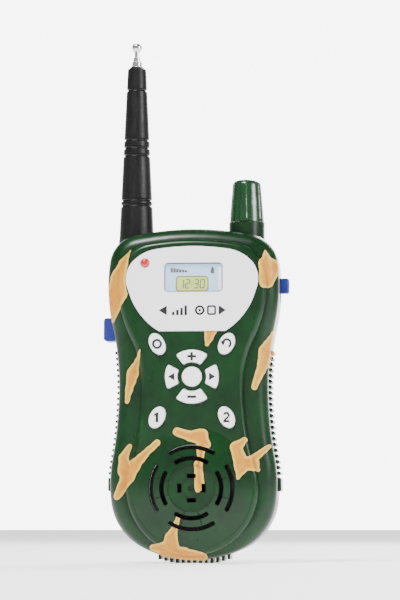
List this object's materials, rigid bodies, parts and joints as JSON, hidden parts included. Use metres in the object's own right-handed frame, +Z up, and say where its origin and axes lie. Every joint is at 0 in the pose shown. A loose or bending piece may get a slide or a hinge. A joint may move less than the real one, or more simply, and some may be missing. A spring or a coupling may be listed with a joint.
{
  "type": "toy walkie talkie",
  "caption": "Handheld toy walkie talkie with telescopic aerial, volume knob, keypad, display panel, round speaker grille, side switches and belt clip.",
  "frame": {"origin": "on the ribbed foot that the radio stands on, on the centre line, in the plane where the casing halves meet", "axes": "+Z up the body along the aerial, +X to the right as the user sees the front, -Y out of the front face"},
  "size_m": [0.0767, 0.0469, 0.2159],
  "materials": {
    "casing": "green moulded plastic with sprayed tan camouflage patches",
    "panel": "white moulded plastic",
    "window": "clear plastic window",
    "lcd": "yellow-green display glass",
    "card": "pale blue printed card",
    "lamp": "red lamp",
    "key": "white moulded plastic",
    "mat": "grey silicone rubber",
    "board": "brown laminate",
    "chip": "black epoxy",
    "capacitor": "dark blue sleeve",
    "can": "tinned steel",
    "foam": "black foam",
    "steel": "plated steel",
    "magnet": "ferrite",
    "paper": "black paper",
    "battery": "plain dark painted can",
    "snap": "black vinyl",
    "black_plastic": "black moulded plastic",
    "sleeve": "black satin plastic",
    "chrome": "chromed brass",
    "knob": "green moulded plastic",
    "blue": "blue moulded plastic",
    "spring": "spring wire",
    "screw": "zinc plated steel"
  },
  "bodies": {
    "casing": {"front_shell": "casing", "rear_shell": "casing", "display_panel": "panel", "display_window": "window", "lcd_glass": "lcd", "display_card": "card", "power_lamp": "lamp", "keypad_mat": "mat", "main_board": "board", "board_chips": "chip", "board_capacitors": "capacitor", "tuning_coils": "can", "crystal_can": "can", "board_transistors": "chip", "speaker_gasket": "foam", "speaker_frame": "steel", "speaker_magnet": "magnet", "speaker_cone": "paper", "speaker_clamps": "steel", "battery": "battery", "battery_snap": "snap", "battery_pad": "foam", "aerial_foot": "black_plastic", "aerial_sleeve": "sleeve", "aerial_tube_1": "chrome", "volume_pot": "can", "talk_switch": "black_plastic", "talk_spring": "spring", "power_switch": "black_plastic", "clip_bracket": "casing", "clip_pin": "steel", "clip_spring": "spring", "case_screws": "screw", "board_screws": "screw", "speaker_screws": "screw", "clip_screws": "screw", "aerial_screw": "screw"},
    "clear_key_body": {"clear_key": "key"},
    "return_key_body": {"return_key": "key"},
    "one_key_body": {"one_key": "key"},
    "two_key_body": {"two_key": "key"},
    "up_key_body": {"up_key": "key"},
    "down_key_body": {"down_key": "key"},
    "right_key_body": {"right_key": "key"},
    "left_key_body": {"left_key": "key"},
    "centre_key_body": {"centre_key": "key"},
    "talk_body": {"talk_button": "blue"},
    "power_body": {"power_slider": "blue"},
    "volume_body": {"volume_knob": "knob", "volume_shaft": "steel"},
    "aerial_tube_2_body": {"aerial_tube_2": "chrome"},
    "aerial_tube_3_body": {"aerial_tube_3": "chrome"},
    "aerial_tip_body": {"aerial_tip": "chrome"},
    "door_body": {"battery_door": "casing"},
    "clip_body": {"belt_clip": "casing"}
  },
  "joints": [
    {"name": "clear_key_press", "type": "slide", "parent": "casing", "child": "clear_key_body", "axis": [0, 1, 0], "range_m": [0, 0.001], "stiffness_N_per_m": 600, "springref_m": -0.0003},
    {"name": "return_key_press", "type": "slide", "parent": "casing", "child": "return_key_body", "axis": [0, 1, 0], "range_m": [0, 0.001], "stiffness_N_per_m": 600, "springref_m": -0.0003},
    {"name": "one_key_press", "type": "slide", "parent": "casing", "child": "one_key_body", "axis": [0, 1, 0], "range_m": [0, 0.001], "stiffness_N_per_m": 600, "springref_m": -0.0003},
    {"name": "two_key_press", "type": "slide", "parent": "casing", "child": "two_key_body", "axis": [0, 1, 0], "range_m": [0, 0.001], "stiffness_N_per_m": 600, "springref_m": -0.0003},
    {"name": "up_key_press", "type": "slide", "parent": "casing", "child": "up_key_body", "axis": [0, 1, 0], "range_m": [0, 0.001], "stiffness_N_per_m": 600, "springref_m": -0.0003},
    {"name": "down_key_press", "type": "slide", "parent": "casing", "child": "down_key_body", "axis": [0, 1, 0], "range_m": [0, 0.001], "stiffness_N_per_m": 600, "springref_m": -0.0003},
    {"name": "right_key_press", "type": "slide", "parent": "casing", "child": "right_key_body", "axis": [0, 1, 0], "range_m": [0, 0.001], "stiffness_N_per_m": 600, "springref_m": -0.0003},
    {"name": "left_key_press", "type": "slide", "parent": "casing", "child": "left_key_body", "axis": [0, 1, 0], "range_m": [0, 0.001], "stiffness_N_per_m": 600, "springref_m": -0.0003},
    {"name": "centre_key_press", "type": "slide", "parent": "casing", "child": "centre_key_body", "axis": [0, 1, 0], "range_m": [0, 0.001], "stiffness_N_per_m": 600, "springref_m": -0.0003},
    {"name": "talk_press", "type": "slide", "parent": "casing", "child": "talk_body", "axis": [1, 0, 0], "range_m": [0, 0.002], "stiffness_N_per_m": 700, "springref_m": -0.0005, "deforming": ["talk_spring"]},
    {"name": "power_slide", "type": "slide", "parent": "casing", "child": "power_body", "axis": [0, 0, 1], "range_m": [-0.0035, 0]},
    {"name": "volume_turn", "type": "hinge", "parent": "casing", "child": "volume_body", "pos_m": [0.0212, 0.008, 0.1404], "axis": [0, 0, 1], "range_deg": [-280, 0]},
    {"name": "aerial_draw_1", "type": "slide", "parent": "casing", "child": "aerial_tube_2_body", "axis": [0, 0, 1], "range_m": [0, 0.084]},
    {"name": "aerial_draw_2", "type": "slide", "parent": "aerial_tube_2_body", "child": "aerial_tube_3_body", "axis": [0, 0, 1], "range_m": [0, 0.084]},
    {"name": "aerial_draw_3", "type": "slide", "parent": "aerial_tube_3_body", "child": "aerial_tip_body", "axis": [0, 0, 1], "range_m": [0, 0.084]},
    {"name": "battery_door_swing", "type": "hinge", "parent": "casing", "child": "door_body", "pos_m": [0, 0.0222, 0.0135], "axis": [1, 0, 0], "range_deg": [-95, 0]},
    {"name": "belt_clip_swing", "type": "hinge", "parent": "casing", "child": "clip_body", "pos_m": [0, 0.027, 0.115], "axis": [1, 0, 0], "range_deg": [0, 16], "stiffness_Nm_per_rad": 0.15, "springref_deg": -8.59, "deforming": ["clip_spring"]}
  ]
}
